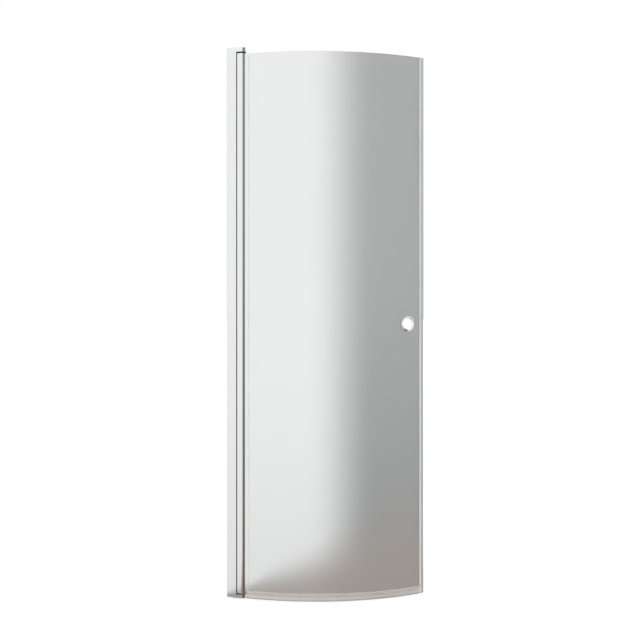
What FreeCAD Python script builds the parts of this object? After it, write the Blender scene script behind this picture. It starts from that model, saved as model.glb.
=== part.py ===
import FreeCAD
import Part
import math
import os

# A curved glass shower door hung on a wall channel, made of separate named pieces.
# Sizes are in millimetres and angles in degrees. X runs out from the wall along the start of
# the closed door, Y runs into the shower and Z runs up. The origin is the foot of the wall
# channel's back face, half way across the channel.

Vector = FreeCAD.Vector
out = Vector(1, 0, 0)
across = Vector(0, 1, 0)
up = Vector(0, 0, 1)
origin = Vector(0, 0, 0)
quarter_turn = 90.0
half_turn = 180.0
full_turn = 360.0
hexagon_sides = 6

# Whole door
door_height = 1950.0
hinge_width = 30.0
overrun = 1.0

# Wall channel
channel_depth = 27.5
channel_wall = 1.6
channel_top_gap = 0.3
wall_hole_d = 6.0
wall_hole_margin = 115.0
wall_hole_count = 4

# Adjusting profile, which slides over the wall channel
adjust_back_x = 12.0
adjust_front_x = 38.0
adjust_wall = 2.0
adjust_travel = 6.0
adjust_stop_gap = 0.5
adjust_edge_r = 0.8
slide_gap = 0.3
port_outer_d = 7.0
port_root = 1.0
port_spacing = 11.0

# Lock screws on the shower side and their caps
lock_x = 21.8
lock_height_shares = (0.15, 0.5, 0.85)
lock_screw_d = 4.0
lock_tip = 1.2
lock_head_d = 8.0
lock_head_height = 2.6
lock_socket = 2.5
lock_socket_depth = 1.6
lock_head_gap = 0.1
lock_slot_gap = 0.3
lock_cap_d = 13.0
lock_cap_height = 5.0
lock_cap_edge_r = 2.0
lock_cap_lift = 0.3

# Brackets, cover and the screws that hold them
top_bracket_height = 13.3
bottom_bracket_height = 10.0
bracket_foot = 3.0
cover_thickness = 3.0
cover_edge_r = 2.0
cover_wall_gap = 0.3
cover_peg_d = 4.0
cover_peg_length = 6.0
cover_peg_spacing = 18.0
cover_peg_setback = 9.0
bracket_screw_d = 3.4
bracket_screw_length = 26.0
bracket_head_d = 7.0
bracket_head_height = 2.8
bracket_socket = 2.5
bracket_socket_depth = 1.5
head_gap = 0.2
hole_gap = 0.4

# Pivot profile
pivot_d = 30.0
pivot_gap = 1.2
closing_gap = 3.3
pivot_bore_d = 16.0
pocket_back = 12.0
pocket_reach = 23.8
pocket_wall = 1.75
profile_edge_r = 0.6

# Pins, bushes, plugs and washers
pin_d = 8.0
pin_head_d = 12.0
pin_head_height = 2.0
pin_engagement = 26.0
bush_outer_d = 11.0
bush_length = 30.0
bush_gap = 0.05
plug_length = 42.0
fit_gap = 0.05
washer_d = 29.4
top_washer_thickness = 5.6
bottom_washer_thickness = 5.4
washer_gap = 0.1
wiper_width = 2.6
wiper_groove = 1.2
wiper_gap = 0.3
plug_grub_d = 4.0
plug_grub_inset = 24.0
grub_socket = 2.0
grub_socket_depth = 2.0
grub_recess = 0.2

# Glass, its gaskets and setting block
glass_thickness = 6.0
glass_radius = 777.0
glass_turn = 46.85
glass_bend_gap = 2.0
glass_edge_gap = 2.0
glass_drop = 0.8
setting_block_height = 2.5
gasket_thickness = 2.0
gasket_bead_length = 1.6
gasket_bead_rise = 1.2

# Seals
seal_fit = 0.3
seal_wall = 1.2
bottom_clip_height = 7.0
lip_floor_gap = 1.0
lip_root = 1.4
lip_tip = 0.7
drip_reach = 7.0
drip_drop = 9.0
edge_clip_length = 9.0
edge_fin_length = 12.0
edge_fin_root = 2.4
edge_fin_tip = 0.8
edge_fin_lean = 2.0
seal_tail_gap = 2.0
seal_profile_gap = 0.3
seal_butt_gap = 0.4

# Finger grip: two rings screwed together through a hole in the glass
grip_height = 970.0
grip_edge_distance = 56.2
grip_ring_d = 53.0
grip_overlap = 3.1
grip_flange = 4.2
grip_edge_r = 2.0
grip_bevel_depth = 3.0
grip_land = 0.5
grip_funnel_width = 1.8
grip_funnel_depth = 1.6
grip_spigot_wall = 2.0
grip_spigot_recess = 0.5
grip_sleeve_wall = 1.2
grip_sleeve_gap = 0.1
grip_gasket_least = 0.8
grip_gasket_inset = 1.0
grip_seat = 0.1

# Places that follow from the sizes
hinge_half = hinge_width / 2
channel_half = hinge_half - adjust_wall - slide_gap
cavity_half = hinge_half - adjust_wall
bracket_top = door_height - cover_thickness
frame_top = bracket_top - top_bracket_height
frame_bottom = bracket_foot + bottom_bracket_height
channel_top = bracket_top - channel_top_gap
cavity_front_x = channel_depth + adjust_travel + adjust_stop_gap
pivot_r = pivot_d / 2
pivot_x = adjust_front_x + pivot_gap + pivot_r
closing_x = adjust_front_x + closing_gap
port_x = cavity_front_x - port_outer_d / 2 + port_root
port_y = port_spacing / 2
cover_back_x = adjust_travel + cover_wall_gap
profile_bottom = frame_bottom + bottom_washer_thickness + washer_gap
profile_top = frame_top - top_washer_thickness - washer_gap
lock_heights = [share * door_height for share in lock_height_shares]
glass_half = glass_thickness / 2
pocket_half = glass_half + gasket_thickness
pocket_floor_x = pivot_x + pocket_back
pocket_end_x = pivot_x + pocket_reach
glass_edge_x = pocket_floor_x + glass_edge_gap
bend_x = pocket_end_x + glass_bend_gap
glass_bottom = profile_bottom + setting_block_height
glass_top = profile_top - glass_drop
arc_centre = Vector(bend_x, glass_radius, 0)
grip_turn = glass_turn - math.degrees(grip_edge_distance / glass_radius)
grip_hole_d = grip_ring_d - 2 * grip_overlap
spigot_d = grip_hole_d - 2 * grip_sleeve_wall - 4 * grip_sleeve_gap
grip_bore_d = spigot_d - 2 * grip_spigot_wall
glass_inner_r = glass_radius - glass_half
grip_bow = glass_inner_r - math.sqrt(glass_inner_r ** 2 - (grip_ring_d / 2) ** 2)
outer_seat = glass_half + grip_seat + grip_gasket_least
inner_seat = outer_seat + grip_bow


def block(x_low, x_high, y_low, y_high, z_low, z_high):
    """Box between two opposite corners."""
    corner = Vector(x_low, y_low, z_low)
    return Part.makeBox(x_high - x_low, y_high - y_low, z_high - z_low, corner)


def slab(x_low, x_high, half_width, z_low, z_high):
    """Box centred across the hinge."""
    return block(x_low, x_high, -half_width, half_width, z_low, z_high)


def rod(diameter, x, y, z_low, z_high):
    """Upright round rod."""
    return Part.makeCylinder(diameter / 2, z_high - z_low, Vector(x, y, z_low), up)


def cross_rod(diameter, x, z, y_low, y_high):
    """Round rod lying across the hinge."""
    return Part.makeCylinder(diameter / 2, y_high - y_low, Vector(x, y_low, z), across)


def out_rod(diameter, x_low, x_high):
    """Round rod along X through the local origin."""
    return Part.makeCylinder(diameter / 2, x_high - x_low, Vector(x_low, 0, 0), out)


def nosed_plate(x_back, x_nose, half_width, z_low, z_high):
    """Plate with a square back and a half-round nose."""
    right_back = Vector(x_back, -half_width, z_low)
    right_front = Vector(x_nose, -half_width, z_low)
    tip = Vector(x_nose + half_width, 0, z_low)
    left_front = Vector(x_nose, half_width, z_low)
    left_back = Vector(x_back, half_width, z_low)
    sides = [Part.makeLine(right_back, right_front)]
    sides.append(Part.Arc(right_front, tip, left_front).toShape())
    sides.append(Part.makeLine(left_front, left_back))
    sides.append(Part.makeLine(left_back, right_back))
    return Part.Face(Part.Wire(sides)).extrude(up * (z_high - z_low))


def outline_face(points):
    """Flat face inside a closed outline of straight sides."""
    return Part.Face(Part.makePolygon(points + points[:1]))


def hexagon(across_flats, z_low, z_high):
    """Upright hexagonal bar on the Z axis."""
    corner_r = across_flats / 2 / math.cos(math.pi / hexagon_sides)
    points = []
    for side in range(hexagon_sides):
        angle = math.tau * side / hexagon_sides
        points.append(Vector(corner_r * math.cos(angle), corner_r * math.sin(angle), z_low))
    return outline_face(points).extrude(up * (z_high - z_low))


def screw(shank_d, shank_length, head_d, head_height, socket, socket_depth):
    """Socket-head screw pointing down, with the underside of its head at zero height."""
    head = rod(head_d, 0, 0, 0, head_height)
    shank = rod(shank_d, 0, 0, -shank_length, 0)
    recess = hexagon(socket, head_height - socket_depth, head_height + overrun)
    return head.fuse(shank).removeSplitter().cut(recess)


def grub(diameter, length):
    """Headless screw pointing down, with its top at zero height."""
    body = rod(diameter, 0, 0, -length, 0)
    return body.cut(hexagon(grub_socket, -grub_socket_depth, overrun))


def moved(shape, x, y, z):
    """Copy of a shape carried to another place."""
    copy = shape.copy()
    copy.translate(Vector(x, y, z))
    return copy


def turned(shape, axis, angle):
    """Copy of a shape turned about an axis through the origin."""
    copy = shape.copy()
    copy.rotate(origin, axis, angle)
    return copy


def round_edges(shape, radius, wanted):
    """Round the edges that a test picks out."""
    return shape.makeFillet(radius, [edge for edge in shape.Edges if wanted(edge)])


def level_at(height):
    """Test for edges that lie wholly at one height."""
    return lambda edge: all(abs(vertex.Z - height) < fit_gap for vertex in edge.Vertexes)


def upright_at(x, y):
    """Test for straight upright edges at one place on either side of the hinge."""
    def wanted(edge):
        place = edge.CenterOfMass
        standing = edge.BoundBox.ZLength > hinge_width
        return standing and abs(place.x - x) < fit_gap and abs(abs(place.y) - y) < fit_gap
    return wanted


def wall_channel():
    """U channel that is screwed to the wall."""
    body = slab(0, channel_depth, channel_half, 0, channel_top)
    inner_half = channel_half - channel_wall
    high = channel_top + overrun
    body = body.cut(slab(channel_wall, channel_depth + overrun, inner_half, -overrun, high))
    pitch = (channel_top - 2 * wall_hole_margin) / (wall_hole_count - 1)
    for step in range(wall_hole_count):
        hole = out_rod(wall_hole_d, -overrun, channel_wall + overrun)
        body = body.cut(moved(hole, 0, 0, wall_hole_margin + step * pitch))
    for height in lock_heights:
        body = body.cut(cross_rod(lock_screw_d + 2 * fit_gap, lock_x, height, 0, hinge_half))
    return body


def lock_screws():
    """Screws that clamp the adjusting profile to the wall channel."""
    length = hinge_half + lock_head_gap - channel_half + channel_wall + lock_tip
    one = screw(lock_screw_d, length, lock_head_d, lock_head_height, lock_socket, lock_socket_depth)
    lying = turned(one, out, -quarter_turn)
    return Part.makeCompound([moved(lying, lock_x, hinge_half + lock_head_gap, z) for z in lock_heights])


def lock_caps():
    """Caps pressed over the heads of the lock screws."""
    cap = rod(lock_cap_d, 0, 0, 0, lock_cap_height)
    cap = round_edges(cap, lock_cap_edge_r, level_at(lock_cap_height))
    recess_depth = lock_head_height + lock_head_gap
    cap = cap.cut(rod(lock_head_d + 2 * fit_gap, 0, 0, -overrun, recess_depth))
    lying = turned(cap, out, -quarter_turn)
    return Part.makeCompound([moved(lying, lock_x, hinge_half + lock_cap_lift, z) for z in lock_heights])


def lock_slot(height):
    """Slot that lets the adjusting profile slide past one lock screw."""
    width = lock_screw_d + 2 * lock_slot_gap
    near_x = lock_x - adjust_travel
    far_x = lock_x + adjust_travel
    y_low = cavity_half - overrun
    y_high = hinge_half + overrun
    slot = block(near_x, far_x, y_low, y_high, height - width / 2, height + width / 2)
    ends = [cross_rod(width, x, height, y_low, y_high) for x in (near_x, far_x)]
    return slot.multiFuse(ends)


def adjust_profile():
    """Outer profile that slides over the wall channel, closed at the front."""
    body = slab(adjust_back_x, adjust_front_x, hinge_half, frame_bottom, frame_top)
    body = round_edges(body, adjust_edge_r, upright_at(adjust_front_x, hinge_half))
    low = frame_bottom - overrun
    high = frame_top + overrun
    body = body.cut(slab(adjust_back_x - overrun, cavity_front_x, cavity_half, low, high))
    for y in (-port_y, port_y):
        body = body.fuse(rod(port_outer_d, port_x, y, frame_bottom, frame_top))
    groove_x = adjust_front_x - wiper_groove
    body = body.cut(slab(groove_x, adjust_front_x + overrun, wiper_width / 2, low, high))
    for y in (-port_y, port_y):
        body = body.cut(rod(bracket_screw_d + 2 * fit_gap, port_x, y, low, high))
    for height in lock_heights:
        body = body.cut(lock_slot(height))
    return body.removeSplitter()


def hinge_wiper():
    """Soft strip that closes the gap to the pivot profile."""
    back_x = adjust_front_x - wiper_groove
    front_x = pivot_x - pivot_r - wiper_gap
    return slab(back_x, front_x, wiper_width / 2 - fit_gap, frame_bottom, frame_top)


def channel_slots(z_low, z_high):
    """Clearance for the two flanges of the wall channel, over the whole slide."""
    inner_y = channel_half - channel_wall - slide_gap
    slots = []
    for y_low, y_high in ((-cavity_half, -inner_y), (inner_y, cavity_half)):
        slots.append(block(adjust_back_x - overrun, cavity_front_x, y_low, y_high, z_low, z_high))
    return slots


def bracket_body(z_low, z_high):
    """Nosed block with the flange slots and the screw and pin holes that both brackets share."""
    body = nosed_plate(adjust_back_x, pivot_x, hinge_half, z_low, z_high)
    low = z_low - overrun
    high = z_high + overrun
    body = body.cut(channel_slots(low, high))
    for y in (-port_y, port_y):
        body = body.cut(rod(bracket_screw_d + 2 * hole_gap, port_x, y, low, high))
    return body.cut(rod(pin_d + 2 * fit_gap, pivot_x, 0, low, high))


def head_recesses(z_low, z_high):
    """Counterbores for the heads of the bracket screws."""
    return [rod(bracket_head_d + 2 * head_gap, port_x, y, z_low, z_high) for y in (-port_y, port_y)]


def cover_pegs(diameter, z_low, z_high):
    """Pegs that hold the cover, or the holes they press into."""
    x = pivot_x - cover_peg_setback
    y = cover_peg_spacing / 2
    return [rod(diameter, x, side, z_low, z_high) for side in (-y, y)]


def top_bracket():
    """Cast bracket on top of the adjusting profile."""
    body = bracket_body(frame_top, bracket_top)
    high = bracket_top + overrun
    body = body.cut(head_recesses(bracket_top - bracket_head_height - head_gap, high))
    body = body.cut(rod(pin_head_d + 2 * head_gap, pivot_x, 0, bracket_top - pin_head_height, high))
    holes = cover_pegs(cover_peg_d + 2 * fit_gap, bracket_top - cover_peg_length - head_gap, high)
    return body.cut(holes)


def top_cover():
    """Plate that hides the top bracket's screws and pin."""
    plate = nosed_plate(cover_back_x, pivot_x, hinge_half, bracket_top, door_height)
    plate = round_edges(plate, cover_edge_r, level_at(door_height))
    pegs = cover_pegs(cover_peg_d, bracket_top - cover_peg_length, bracket_top)
    return plate.multiFuse(pegs).removeSplitter()


def bottom_bracket():
    """Cast bracket under the adjusting profile."""
    body = bracket_body(bracket_foot, frame_bottom)
    low = bracket_foot - overrun
    body = body.cut(head_recesses(low, bracket_foot + bracket_head_height + head_gap))
    pin_seat = bracket_foot + pin_head_height + head_gap
    return body.cut(rod(pin_head_d + 2 * head_gap, pivot_x, 0, low, pin_seat))


def bracket_screw():
    """One of the screws that hold a bracket to the adjusting profile."""
    return screw(bracket_screw_d, bracket_screw_length, bracket_head_d, bracket_head_height,
                 bracket_socket, bracket_socket_depth)


def top_bracket_screws():
    """Pair of screws through the top bracket."""
    seat = bracket_top - bracket_head_height - head_gap
    return Part.makeCompound([moved(bracket_screw(), port_x, y, seat) for y in (-port_y, port_y)])


def bottom_bracket_screws():
    """Pair of screws through the bottom bracket, from below."""
    one = turned(bracket_screw(), out, half_turn)
    seat = bracket_foot + bracket_head_height + head_gap
    return Part.makeCompound([moved(one, port_x, y, seat) for y in (-port_y, port_y)])


def top_pin():
    """Headed pin pressed into the top bracket."""
    shaft = rod(pin_d, pivot_x, 0, profile_top - pin_engagement, bracket_top)
    head = rod(pin_head_d, pivot_x, 0, bracket_top - pin_head_height, bracket_top)
    return shaft.fuse(head).removeSplitter()


def bottom_pin():
    """Headed pin pressed into the bottom bracket."""
    foot = bracket_foot + head_gap
    shaft = rod(pin_d, pivot_x, 0, foot, profile_bottom + pin_engagement)
    head = rod(pin_head_d, pivot_x, 0, foot, foot + pin_head_height)
    return shaft.fuse(head).removeSplitter()


def washer(z_low, z_high):
    """Bearing washer around a pin."""
    disc = rod(washer_d, pivot_x, 0, z_low, z_high)
    return disc.cut(rod(pin_d + 2 * fit_gap, pivot_x, 0, z_low - overrun, z_high + overrun))


def top_washer():
    """Bearing washer between the top bracket and the pivot profile."""
    return washer(frame_top - top_washer_thickness, frame_top)


def bottom_washer():
    """Bearing washer that carries the door on the bottom bracket."""
    return washer(frame_bottom, frame_bottom + bottom_washer_thickness)


def grub_heights():
    """Heights of the grub screws that hold the bottom and top plugs."""
    return (profile_bottom + plug_grub_inset, profile_top - plug_grub_inset)


def pivot_core():
    """Round bar with a square outer edge that closes most of the gap to the adjusting profile."""
    edge_y = math.sqrt(pivot_r ** 2 - (pivot_x - closing_x) ** 2)
    corner = Vector(closing_x, -pivot_r, profile_bottom)
    front = Vector(pivot_x, -pivot_r, profile_bottom)
    tip = Vector(pivot_x + pivot_r, 0, profile_bottom)
    back = Vector(pivot_x, pivot_r, profile_bottom)
    left = Vector(pivot_x - pivot_r, 0, profile_bottom)
    root = Vector(closing_x, -edge_y, profile_bottom)
    sides = [Part.makeLine(corner, front)]
    sides.append(Part.Arc(front, tip, back).toShape())
    sides.append(Part.Arc(back, left, root).toShape())
    sides.append(Part.makeLine(root, corner))
    body = Part.Face(Part.Wire(sides)).extrude(up * (profile_top - profile_bottom))
    return round_edges(body, profile_edge_r, upright_at(closing_x, pivot_r))


def pivot_profile():
    """Profile that turns with the door, with a pocket for the glass."""
    body = pivot_core()
    arm_half = pocket_half + pocket_wall
    arms = slab(pivot_x, pocket_end_x, arm_half, profile_bottom, profile_top)
    arms = round_edges(arms, profile_edge_r, upright_at(pocket_end_x, arm_half))
    body = body.fuse(arms)
    low = profile_bottom - overrun
    high = profile_top + overrun
    body = body.cut(rod(pivot_bore_d, pivot_x, 0, low, high))
    body = body.cut(slab(pocket_floor_x, pocket_end_x + overrun, pocket_half, low, high))
    for height in grub_heights():
        body = body.cut(cross_rod(plug_grub_d + 2 * fit_gap, pivot_x, height, 0, pivot_r + overrun))
    return body.removeSplitter()


def plug(z_low, z_high, bush_low, bush_high):
    """Sleeve in the end of the pivot profile, bored for a bush."""
    body = rod(pivot_bore_d - 2 * fit_gap, pivot_x, 0, z_low, z_high)
    return body.cut(rod(bush_outer_d + 2 * fit_gap, pivot_x, 0, bush_low, bush_high))


def top_plug():
    """Plug in the top end of the pivot profile."""
    return plug(profile_top - plug_length, profile_top, profile_top - bush_length, profile_top + overrun)


def bottom_plug():
    """Plug in the bottom end of the pivot profile."""
    return plug(profile_bottom, profile_bottom + plug_length, profile_bottom - overrun,
                profile_bottom + bush_length)


def bush(z_low, z_high):
    """Plain bush that turns on a pin."""
    body = rod(bush_outer_d, pivot_x, 0, z_low, z_high)
    return body.cut(rod(pin_d + 2 * bush_gap, pivot_x, 0, z_low - overrun, z_high + overrun))


def top_bush():
    """Bush in the top plug."""
    return bush(profile_top - bush_length, profile_top)


def bottom_bush():
    """Bush in the bottom plug."""
    return bush(profile_bottom, profile_bottom + bush_length)


def plug_grub_screws():
    """Grub screws that hold both plugs in the pivot profile."""
    length = pivot_r - grub_recess - pivot_bore_d / 2
    lying = turned(grub(plug_grub_d, length), out, -quarter_turn)
    top_y = pivot_r - grub_recess
    return Part.makeCompound([moved(lying, pivot_x, top_y, height) for height in grub_heights()])


def setting_block():
    """Pad under the glass at the foot of the pocket."""
    return slab(pocket_floor_x, pocket_end_x, pocket_half, profile_bottom, glass_bottom)


def glazing_gasket(side):
    """Strip beside the glass, with a bead at the mouth of the pocket."""
    bead_y = pocket_half + gasket_bead_rise
    bead_x = pocket_end_x + gasket_bead_length
    corners = [(glass_edge_x, glass_half), (bead_x, glass_half), (bead_x, bead_y)]
    corners += [(pocket_end_x, bead_y), (pocket_end_x, pocket_half), (glass_edge_x, pocket_half)]
    points = [Vector(x, side * y, glass_bottom) for x, y in corners]
    return outline_face(points).extrude(up * (profile_top - glass_bottom))


def bowed(points, start_turn, end_turn):
    """Sweep an outline, given at the start of the bow, round the bow of the glass."""
    face = outline_face(points)
    face.rotate(arc_centre, up, start_turn)
    return face.revolve(arc_centre, up, end_turn - start_turn)


def on_bow(shape, turn, height):
    """Carry a shape built with X square to the glass to a place on the bow."""
    place = Vector(0, -glass_radius, 0)
    place = FreeCAD.Rotation(up, turn).multVec(place) + arc_centre
    return moved(turned(shape, up, turn - quarter_turn), place.x, place.y, height)


def glass_panel():
    """Glass with a straight edge in the pocket and a round bow beyond it."""
    corners = [(-glass_half, glass_bottom), (glass_half, glass_bottom)]
    corners += [(glass_half, glass_top), (-glass_half, glass_top)]
    bow = bowed([Vector(bend_x, y, z) for y, z in corners], 0, glass_turn)
    edge = slab(glass_edge_x, bend_x, glass_half, glass_bottom, glass_top)
    hole = out_rod(grip_hole_d, -glass_thickness, glass_thickness)
    return edge.fuse(bow).removeSplitter().cut(on_bow(hole, grip_turn, grip_height))


def bottom_seal():
    """Clip-on strip under the glass, with an upright lip outside and a drip lip inside."""
    inner = glass_half + seal_fit
    outer = inner + seal_wall
    clip_top = glass_bottom + bottom_clip_height
    seat = glass_bottom - seal_fit
    base = seat - seal_wall
    drip_y = outer + drip_reach
    drip_z = seat - drip_drop
    corners = [(-outer, clip_top), (-inner, clip_top), (-inner, seat), (inner, seat)]
    corners += [(inner, clip_top), (outer, clip_top), (outer, seat)]
    corners += [(drip_y, drip_z), (drip_y, drip_z - lip_tip), (outer, base)]
    corners += [(lip_root - outer, base), (lip_tip - outer, lip_floor_gap), (-outer, lip_floor_gap)]
    end_turn = glass_turn - math.degrees((edge_clip_length + seal_butt_gap) / glass_radius)
    points = [Vector(bend_x, y, z) for y, z in corners]
    tail_x = pivot_x + hinge_half + seal_tail_gap
    tail = outline_face(points).extrude(out * (tail_x - bend_x))
    under_profile = profile_bottom - seal_profile_gap
    tail = tail.cut(slab(tail_x - overrun, bend_x, drip_y + overrun, under_profile, clip_top + overrun))
    return bowed(points, 0, end_turn).fuse(tail).removeSplitter()


def edge_seal():
    """Clip-on strip on the free edge of the glass, with a fin that meets the next door."""
    inner = glass_half + seal_fit
    outer = inner + seal_wall
    base = seal_fit + seal_wall
    fin_x = base + edge_fin_length
    root_half = edge_fin_root / 2
    tip_half = edge_fin_tip / 2
    corners = [(-edge_clip_length, outer), (-edge_clip_length, inner), (seal_fit, inner)]
    corners += [(seal_fit, -inner), (-edge_clip_length, -inner), (-edge_clip_length, -outer)]
    corners += [(base, -outer), (base, -root_half), (fin_x, edge_fin_lean - tip_half)]
    corners += [(fin_x, edge_fin_lean + tip_half), (base, root_half), (base, outer)]
    points = [Vector(-side, along, lip_floor_gap) for along, side in corners]
    strip = outline_face(points).extrude(up * (glass_top - lip_floor_gap))
    return on_bow(strip, glass_turn, 0)


def on_outside(shape):
    """Carry a shape built along X from the middle of the glass to the outside of the grip hole."""
    return on_bow(shape, grip_turn, grip_height)


def on_inside(shape):
    """Carry the same shape to the shower side of the grip hole."""
    return on_outside(turned(shape, up, half_turn))


def tube(outer_d, inner_d, x_low, x_high):
    """Round tube along X."""
    return out_rod(outer_d, x_low, x_high).cut(out_rod(inner_d, x_low - overrun, x_high + overrun))


def rim_at(x):
    """Test for round edges that lie wholly at one X."""
    return lambda edge: all(abs(vertex.X - x) < fit_gap for vertex in edge.Vertexes)


def grip_ring_outer():
    """Bevelled ring on the outside, with a spigot that passes through the glass."""
    front_x = outer_seat + grip_flange
    bevel_x = front_x - grip_bevel_depth
    bore_r = grip_bore_d / 2
    mouth_r = bore_r + grip_funnel_width
    foot = Vector(bevel_x, 0, 0)
    bevel = Part.makeCone(grip_ring_d / 2, mouth_r + grip_land, grip_bevel_depth, foot, out)
    spigot_end = grip_spigot_recess - inner_seat - grip_flange
    spigot = out_rod(spigot_d, spigot_end, outer_seat)
    ring = out_rod(grip_ring_d, outer_seat, bevel_x).fuse([bevel, spigot]).removeSplitter()
    ring = ring.cut(out_rod(grip_bore_d, spigot_end - overrun, front_x + overrun))
    floor = Vector(front_x - grip_funnel_depth, 0, 0)
    funnel = Part.makeCone(bore_r, mouth_r, grip_funnel_depth, floor, out)
    return on_outside(ring.cut(funnel))


def grip_ring_inner():
    """Ring on the shower side, screwed onto the spigot."""
    front_x = inner_seat + grip_flange
    flange = tube(grip_ring_d, spigot_d + 2 * fit_gap, inner_seat, front_x)
    return on_inside(round_edges(flange, grip_edge_r, rim_at(front_x)))


def grip_gasket(seat):
    """Clear gasket under a ring, before the bow of the glass is cut from it."""
    return tube(grip_ring_d - 2 * grip_gasket_inset, grip_hole_d, 0, seat)


def glass_room():
    """Bow of the glass near the grip, with the clearance that a gasket keeps from it."""
    low = grip_height - grip_ring_d
    high = grip_height + grip_ring_d
    half = glass_half + grip_seat
    corners = [(-half, low), (half, low), (half, high), (-half, high)]
    return bowed([Vector(bend_x, y, z) for y, z in corners], 0, glass_turn)


def grip_gasket_outer():
    """Gasket under the outer ring."""
    return on_outside(grip_gasket(outer_seat)).cut(glass_room())


def grip_gasket_inner():
    """Gasket under the inner ring."""
    return on_inside(grip_gasket(inner_seat)).cut(glass_room())


def grip_sleeve():
    """Clear sleeve that keeps the spigot off the glass."""
    inner_d = spigot_d + 2 * grip_sleeve_gap
    return on_outside(tube(inner_d + 2 * grip_sleeve_wall, inner_d, -glass_half, glass_half))


pieces = {
    "wall_channel": wall_channel(),
    "lock_screws": lock_screws(),
    "lock_caps": lock_caps(),
    "adjust_profile": adjust_profile(),
    "hinge_wiper": hinge_wiper(),
    "top_bracket": top_bracket(),
    "top_cover": top_cover(),
    "top_bracket_screws": top_bracket_screws(),
    "top_pin": top_pin(),
    "top_washer": top_washer(),
    "bottom_bracket": bottom_bracket(),
    "bottom_bracket_screws": bottom_bracket_screws(),
    "bottom_pin": bottom_pin(),
    "bottom_washer": bottom_washer(),
    "pivot_profile": pivot_profile(),
    "top_plug": top_plug(),
    "top_bush": top_bush(),
    "bottom_plug": bottom_plug(),
    "bottom_bush": bottom_bush(),
    "plug_grub_screws": plug_grub_screws(),
    "setting_block": setting_block(),
    "glazing_gasket_outer": glazing_gasket(-1),
    "glazing_gasket_inner": glazing_gasket(1),
    "glass_panel": glass_panel(),
    "bottom_seal": bottom_seal(),
    "edge_seal": edge_seal(),
    "grip_ring_outer": grip_ring_outer(),
    "grip_ring_inner": grip_ring_inner(),
    "grip_gasket_outer": grip_gasket_outer(),
    "grip_gasket_inner": grip_gasket_inner(),
    "grip_sleeve": grip_sleeve(),
}

os.makedirs("parts", exist_ok=True)
for name, shape in pieces.items():
    if not shape.isValid():
        raise ValueError(name + " is not a valid shape")
    shape.exportStep("parts/" + name + ".step")
    print(name, len(shape.Solids), round(shape.Volume))
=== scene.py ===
import math

import bmesh
import bpy
from bpy.props import FloatProperty, FloatVectorProperty, PointerProperty
from bpy.types import Operator, Panel, PropertyGroup
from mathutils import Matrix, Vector


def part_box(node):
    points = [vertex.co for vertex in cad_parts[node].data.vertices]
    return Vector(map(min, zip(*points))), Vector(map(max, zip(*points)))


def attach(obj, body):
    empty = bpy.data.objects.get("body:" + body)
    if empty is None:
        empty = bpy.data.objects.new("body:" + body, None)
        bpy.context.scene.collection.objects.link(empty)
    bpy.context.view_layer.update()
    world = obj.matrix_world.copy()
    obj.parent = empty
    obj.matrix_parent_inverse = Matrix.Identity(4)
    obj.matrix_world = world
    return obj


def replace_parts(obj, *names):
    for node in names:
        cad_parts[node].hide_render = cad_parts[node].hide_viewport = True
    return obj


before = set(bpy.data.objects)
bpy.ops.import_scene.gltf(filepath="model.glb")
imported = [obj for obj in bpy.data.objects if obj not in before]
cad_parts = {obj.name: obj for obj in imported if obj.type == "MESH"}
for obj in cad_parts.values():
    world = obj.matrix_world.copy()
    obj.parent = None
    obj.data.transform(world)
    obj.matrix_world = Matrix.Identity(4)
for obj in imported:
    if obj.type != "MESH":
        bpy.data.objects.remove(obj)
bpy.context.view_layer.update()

# A curved glass shower door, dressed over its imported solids. Lengths are in metres. X runs out from
# the wall along the start of the closed door, Y runs into the shower and Z runs up.

bl_info = {
    "name": "Curved shower door",
    "version": (1, 0, 0),
    "blender": (4, 5, 0),
    "location": "View3D > Sidebar > Shower Door",
    "description": "Dresses the packed solids of a curved glass shower door and sets up its studio",
    "category": "Object",
}

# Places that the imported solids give
glass_low, glass_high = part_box("glass_panel")
seal_low, seal_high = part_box("bottom_seal")
fin_low, fin_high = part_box("edge_seal")
gasket_low, gasket_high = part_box("glazing_gasket_outer")
profile_low, profile_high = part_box("pivot_profile")
block_low, block_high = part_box("setting_block")
wiper_low, wiper_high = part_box("hinge_wiper")
adjust_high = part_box("adjust_profile")[1]
sleeve_low, sleeve_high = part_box("grip_sleeve")
ring_low, ring_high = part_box("grip_ring_outer")
glass_half = -glass_low.y
grip_centre = (sleeve_low + sleeve_high) / 2
grip_hole_radius = (sleeve_high.z - sleeve_low.z) / 2

# Fineness of the meshes: lengths between the lines of a skin, and steps along a curve
bow_step = 0.005
pocket_step = 0.004
glass_step = 0.15
edge_seal_step = 0.1
strip_step = 0.2
hole_cells = 16
hole_rings = 5
drip_steps = 6
tail_first_step = 3
fin_steps = 5
quarter_steps = 6
grip_steps = 96
grip_gasket_steps = 4
arris_segments = 2
arris_angle = math.radians(60.0)
crease_angle = math.radians(38.0)
step_slack = 1e-6

# Small forms of the soft pieces: lengths, and shares of the size that each one follows
hole_patch_share = 1.5
hole_ring_power = 0.8
corner_share = 0.45
barb_height = 0.0008
barb_share = 0.8
drip_slope_share = 0.55
tail_gap = 0.00005
fin_curl_power = 1.4
wiper_taper_share = 0.04
rib_count = 6
rib_depth = 0.0004
rib_round = 0.0001
rib_right_share = 0.1
rib_left_share = 0.6
rib_foot_share = 0.7
block_soft = 0.0002
block_end_share = 0.97
sleeve_gap = 0.0001
sleeve_wall = 0.0011
sleeve_soft = 0.0002

# Optics and grain of the materials, and the painted shade at the foot of the lips
glass_ior = 1.5
soft_plastic_ior = 1.45
hard_plastic_ior = 1.5
satin_swing = 0.05
moulded_swing = 0.12
drawn_stretch = (1.0, 1.0, 0.02)
# Painted shade: the lips' colour darkens over the last few millimetres above the floor, between these heights
foot_shade_low = 0.0025
foot_shade_high = 0.0055
foot_shade_waver = 0.001
foot_shade_share = 0.55

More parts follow.
